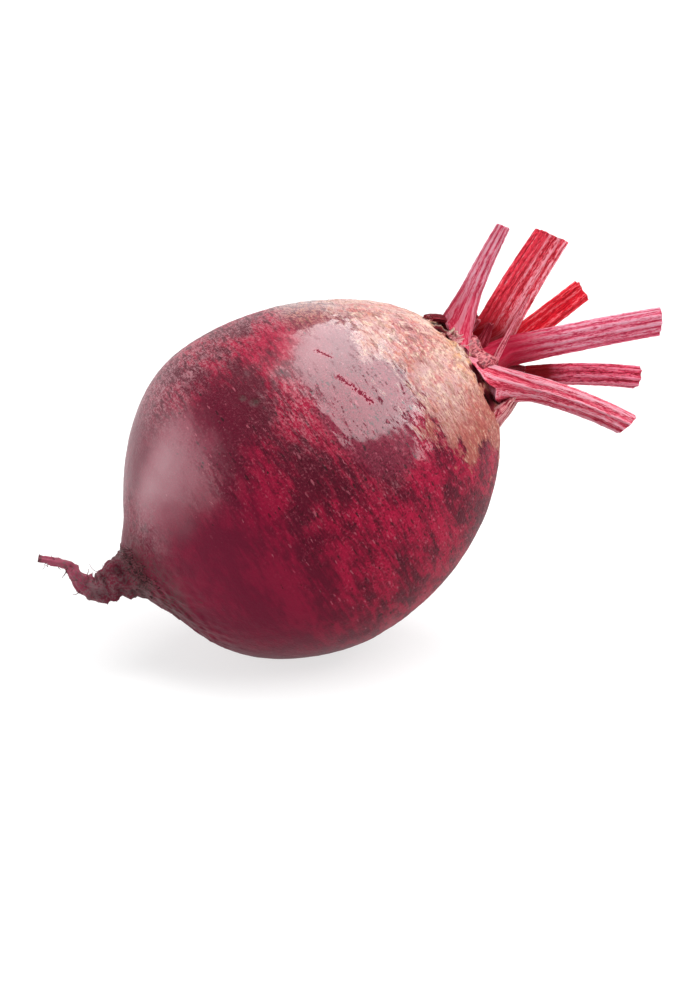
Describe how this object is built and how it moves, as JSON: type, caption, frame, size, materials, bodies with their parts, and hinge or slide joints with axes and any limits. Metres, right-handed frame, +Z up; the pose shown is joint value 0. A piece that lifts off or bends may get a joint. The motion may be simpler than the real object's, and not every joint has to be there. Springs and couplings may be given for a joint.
{
  "type": "beetroot",
  "caption": "Whole beetroot lying on its side: a swollen dark red root with a corky crown, a thin curled tail and cut leaf stalks fanning out of the crown.",
  "frame": {"origin": "middle of the flat spot that the root rests on", "axes": "+X towards the crown and the stalks, the tail points to -X, +Z up from the surface it lies on, +Y to the back"},
  "size_m": [0.1429, 0.0799, 0.0949],
  "materials": {
    "root_skin": "thin dark wine-red skin with a soft sheen, corky and orange-brown round the crown",
    "stalk": "juicy crimson stalk with paler pink ribs along it"
  },
  "bodies": {
    "root": {"whole_root": "root_skin", "stalk_back_broad": "stalk", "stalk_inner": "stalk", "stalk_back_short": "stalk", "stalk_under": "stalk", "stalk_upper": "stalk", "stalk_front": "stalk"}
  },
  "joints": []
}
